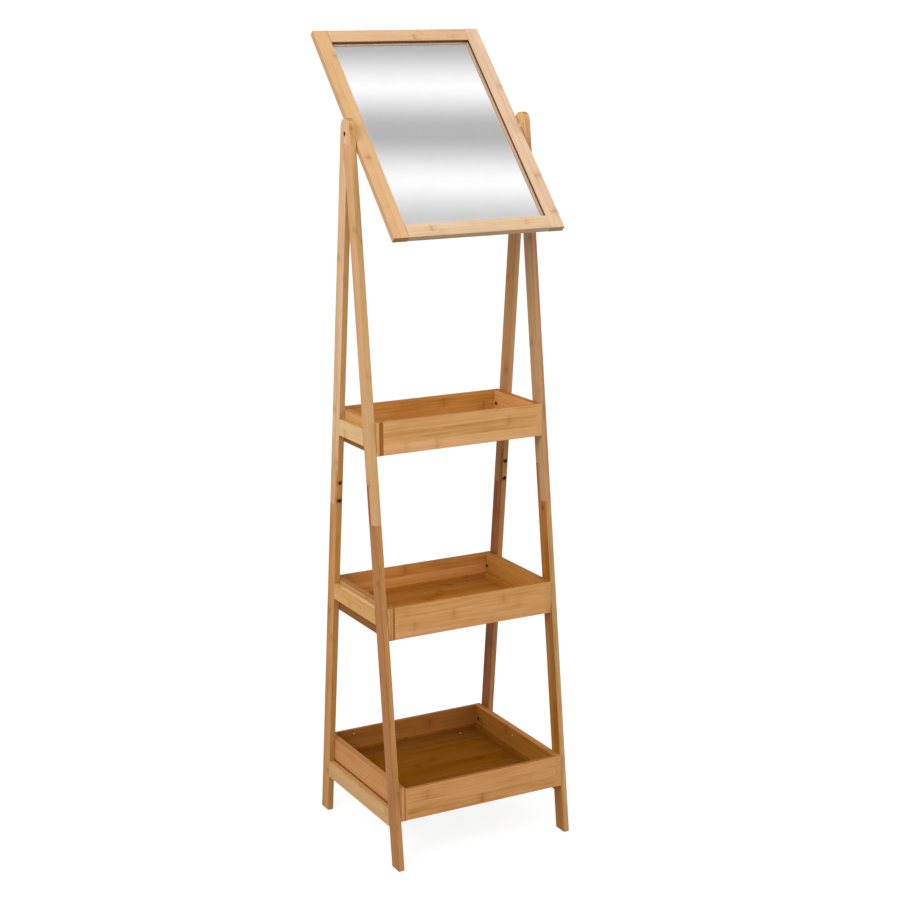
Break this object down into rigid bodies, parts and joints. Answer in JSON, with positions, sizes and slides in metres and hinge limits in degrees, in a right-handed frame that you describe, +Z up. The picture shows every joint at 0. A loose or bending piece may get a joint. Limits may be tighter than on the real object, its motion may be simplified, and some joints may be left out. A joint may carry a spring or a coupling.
{
  "type": "salon mirror stand",
  "caption": "Free-standing bamboo A-frame stand with stacked open trays that deepen downward and a framed mirror that tilts between the frame heads.",
  "frame": {"origin": "on the floor, under the centre of the overall box", "axes": "+X to the right, +Y to the back, +Z up; the mirror and tray fronts face -Y"},
  "size_m": [0.4, 0.3742, 1.6417],
  "materials": {
    "bamboo_leg_upper": "satin",
    "bamboo_leg_lower": "satin",
    "bamboo_rail": "satin",
    "bamboo_tray": "satin",
    "bamboo_floor": "satin",
    "bamboo_mirror_frame": "satin",
    "beech_dowel": "matte",
    "mirror": "polished",
    "backing": "matte",
    "black_steel": "satin",
    "zinc_steel": "satin",
    "brass": "satin",
    "nylon": "matte"
  },
  "bodies": {
    "stand": {"left_front_leg_lower": "bamboo_leg_lower", "left_front_leg_upper": "bamboo_leg_upper", "left_rear_leg_lower": "bamboo_leg_lower", "left_rear_leg_upper": "bamboo_leg_upper", "left_bottom_side_rail": "bamboo_rail", "left_middle_side_rail": "bamboo_rail", "left_top_side_rail": "bamboo_rail", "right_front_leg_lower": "bamboo_leg_lower", "right_front_leg_upper": "bamboo_leg_upper", "right_rear_leg_lower": "bamboo_leg_lower", "right_rear_leg_upper": "bamboo_leg_upper", "right_bottom_side_rail": "bamboo_rail", "right_middle_side_rail": "bamboo_rail", "right_top_side_rail": "bamboo_rail", "bottom_tray_front_wall": "bamboo_tray", "bottom_tray_rear_wall": "bamboo_tray", "bottom_tray_left_wall": "bamboo_tray", "bottom_tray_right_wall": "bamboo_tray", "bottom_tray_floor": "bamboo_floor", "bottom_tray_floor_strips": "bamboo_floor", "bottom_tray_dowels": "beech_dowel", "bottom_tray_screws": "black_steel", "middle_tray_front_wall": "bamboo_tray", "middle_tray_rear_wall": "bamboo_tray", "middle_tray_left_wall": "bamboo_tray", "middle_tray_right_wall": "bamboo_tray", "middle_tray_floor": "bamboo_floor", "middle_tray_floor_strips": "bamboo_floor", "middle_tray_dowels": "beech_dowel", "middle_tray_screws": "black_steel", "top_tray_front_wall": "bamboo_tray", "top_tray_rear_wall": "bamboo_tray", "top_tray_left_wall": "bamboo_tray", "top_tray_right_wall": "bamboo_tray", "top_tray_floor": "bamboo_floor", "top_tray_floor_strips": "bamboo_floor", "top_tray_dowels": "beech_dowel", "top_tray_screws": "black_steel", "side_rail_dowels": "bamboo_rail", "bottom_tray_pan_screws": "zinc_steel", "leg_joint_screws": "black_steel", "head_dowels": "beech_dowel"},
    "mirror": {"mirror_left_stile": "bamboo_mirror_frame", "mirror_right_stile": "bamboo_mirror_frame", "mirror_top_rail": "bamboo_mirror_frame", "mirror_bottom_rail": "bamboo_mirror_frame", "mirror_frame_dowels": "beech_dowel", "mirror_glass": "mirror", "mirror_backing_board": "backing", "mirror_backing_clips": "zinc_steel", "mirror_clip_screws": "zinc_steel", "left_pivot_insert": "brass", "left_pivot_washer": "nylon", "left_pivot_bolt": "black_steel", "right_pivot_insert": "brass", "right_pivot_washer": "nylon", "right_pivot_bolt": "black_steel"}
  },
  "joints": [
    {"name": "mirror_tilt", "type": "hinge", "parent": "stand", "child": "mirror", "pos_m": [0, 0.00773, 1.45], "axis": [1, 0, 0], "continuous": true}
  ]
}
